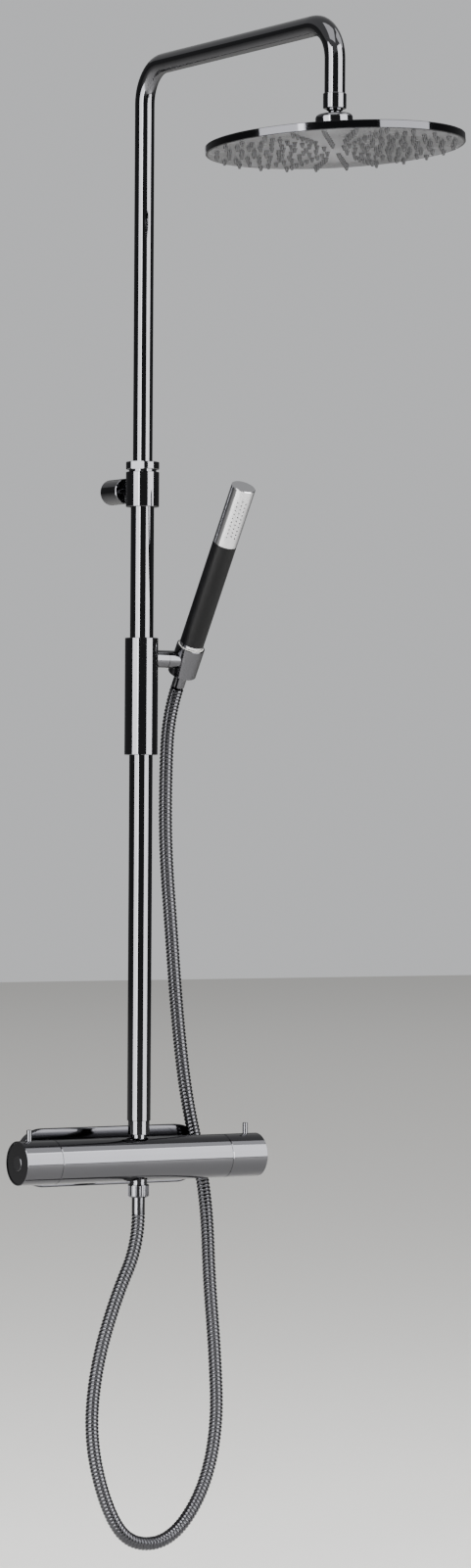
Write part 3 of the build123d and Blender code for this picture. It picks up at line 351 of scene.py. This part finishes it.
def hose_piece(name, first, last):
    """The wound strip from one row to another, as a mesh, and the line it follows."""
    turns = len(strip)
    keys = {}
    faces = []
    for row in range(first, last):
        for step in range(HOSE_AROUND):
            wrap = step + 1 == HOSE_AROUND
            beside = (row + turns, 0) if wrap else (row, step + 1)
            above = (row + 1 + turns, 0) if wrap else (row + 1, step + 1)
            corners = [(row, step), beside, above, (row + 1, step)]
            faces.append([keys.setdefault(corner, len(keys)) for corner in corners])
    rows_of = np.array([key[0] for key in keys])
    steps_of = np.array([key[1] for key in keys])
    share = np.array([s for s, _ in strip])[rows_of % turns]
    radius = np.array([r for _, r in strip])[rows_of % turns]
    at = (rows_of // turns + share + steps_of / HOSE_AROUND - 0.5) * HOSE_PITCH
    at = np.clip(at, 0, hose_length)
    angle = 2 * math.pi * steps_of / HOSE_AROUND
    out = along(side, at) * np.cos(angle)[:, None] + along(over, at) * np.sin(angle)[:, None]
    spots = along(hose_line, at) + out * radius[:, None]
    mesh = bpy.data.meshes.new(name)
    mesh.from_pydata([tuple(spot) for spot in spots], [], faces)
    mesh.polygons.foreach_set("use_smooth", [True] * len(faces))
    mesh.update()
    made = bpy.data.objects.new(name, mesh)
    bpy.context.scene.collection.objects.link(made)
    made.data.materials.append(hose_metal)
    inside = np.linspace(first, last, max(2, (last - first) // 4))
    centres = along(hose_line, np.clip(inside / turns * HOSE_PITCH, 0, hose_length))
    return made, centres


def row_at(height):
    """The row where the rising end of the hose reaches a height."""
    rising = hose_reach > hose_length / 2
    spot = np.interp(height, hose_line[rising, 2], hose_reach[rising])
    return int(spot / HOSE_PITCH) * len(strip)


hose_metal = plated("black_chrome_strip", "#48484b", "#505053", 0.11, (700, 700, 700), 1e-6)
low_cut = row_at(ABOVE_BAR)
mid_cut = row_at(BELOW_SLIDER)
high_cut = row_at(IN_HOLDER)
hose_low, low_line = hose_piece("hose_low", 0, low_cut)
hose_mid, mid_line = hose_piece("hose_mid", low_cut, mid_cut)
hose_top, top_line = hose_piece("hose_top", mid_cut, high_cut)
hose_tail, tail_line = hose_piece("hose_tail", high_cut, rows)
for piece in (hose_low, hose_mid, hose_top, hose_tail):
    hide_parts("shower_hose")


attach(hose_low, "column")
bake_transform(hose_mid)
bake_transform(hose_top)
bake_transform(hose_tail)

# --------------------------------------------------------------- floor, light, camera
# A pale matt floor below the hose's loop and soft boxes at both sides and overhead.

FLOOR_HALF = 16.0
FLOOR_Z = -0.46
floor_mesh = bpy.data.meshes.new("floor")
signs = [(-1, -1), (1, -1), (1, 1), (-1, 1)]
corners = [(x * FLOOR_HALF, y * FLOOR_HALF, FLOOR_Z) for x, y in signs]
floor_mesh.from_pydata(corners, [], [(0, 1, 2, 3)])
floor = bpy.data.objects.new("floor", floor_mesh)
bpy.context.scene.collection.objects.link(floor)
screed = moulded("pale_floor", "#d6d5d2", "#dbdad7", 0.85, 300.0, 1e-4)
floor_mesh.materials.append(screed)
# A faint glow, seen straight but not in the metal, keeps the floor pale to its far edge.
seen = node(screed.node_tree, "ShaderNodeLightPath")
held = node(
    screed.node_tree,
    "ShaderNodeMapRange",
    {"To Min": 0.0, "To Max": 0.40},
    Value=seen.outputs["Is Camera Ray"],
)
pale = screed.node_tree.nodes["Principled BSDF"]
pale.inputs["Emission Color"].default_value = linear("#d6d5d2")
screed.node_tree.links.new(held.outputs[0], pale.inputs["Emission Strength"])

# The room behind is pale when seen straight and dim in what the metal mirrors.
world = bpy.data.worlds.new("studio")
world.use_nodes = True
paper = world.node_tree.nodes["Background"]
paper.inputs["Color"].default_value = linear("#dcdddf")
eye = node(world.node_tree, "ShaderNodeLightPath")
level = node(
    world.node_tree,
    "ShaderNodeMapRange",
    {"To Min": 0.14, "To Max": 0.80},
    Value=eye.outputs["Is Camera Ray"],
)
world.node_tree.links.new(level.outputs[0], paper.inputs["Strength"])
bpy.context.scene.world = world

MIDDLE = Vector((0.0, -0.2, 0.45))
for name, spot, width, height, glow in (
    ("left_box", (-2.54, -0.76, 0.9), 1.9, 2.8, 10.0),
    ("left_strip", (-2.2, -1.56, 0.9), 0.26, 2.8, 16.0),
    ("right_box", (1.24, -2.49, 1.15), 2.2, 3.0, 9.5),
    ("upper_box", (1.3, -1.1, 2.4), 1.6, 1.2, 2.5),
    ("top_box", (-0.6, -0.9, 3.0), 1.8, 1.8, 2.5),
    ("ceiling", (0.0, -0.19, 6.0), 24.0, 24.0, 0.32),
):
    lamp = bpy.data.lights.new(name, "AREA")
    lamp.shape = "RECTANGLE"
    lamp.size = width
    lamp.size_y = height
    lamp.energy = glow * math.pi * width * height
    stand = bpy.data.objects.new(name, lamp)
    stand.location = spot
    stand.rotation_euler = (MIDDLE - Vector(spot)).to_track_quat("-Z", "Y").to_euler()
    stand.visible_camera = False
    bpy.context.scene.collection.objects.link(stand)

turn = math.radians(32.5)
lean = math.radians(0.34)
ahead = Vector((math.sin(turn), math.cos(turn), 0))
right = Vector((math.cos(turn), -math.sin(turn), 0))
up = Vector((0, 0, 1))
tilted_right = right * math.cos(lean) + up * math.sin(lean)
tilted_up = up * math.cos(lean) - right * math.sin(lean)
lens = bpy.data.cameras.new("camera")
lens.lens = 109.5
lens.sensor_width = 36.0
lens.shift_y = 0.0215
lens.clip_end = 100.0
camera = bpy.data.objects.new("camera", lens)
camera.matrix_world = Matrix.Translation((-2.5349, -4.2214, 0.349)) @ Matrix(
    (tilted_right, tilted_up, -ahead)
).transposed().to_4x4()
bpy.context.scene.collection.objects.link(camera)
bpy.context.scene.camera = camera
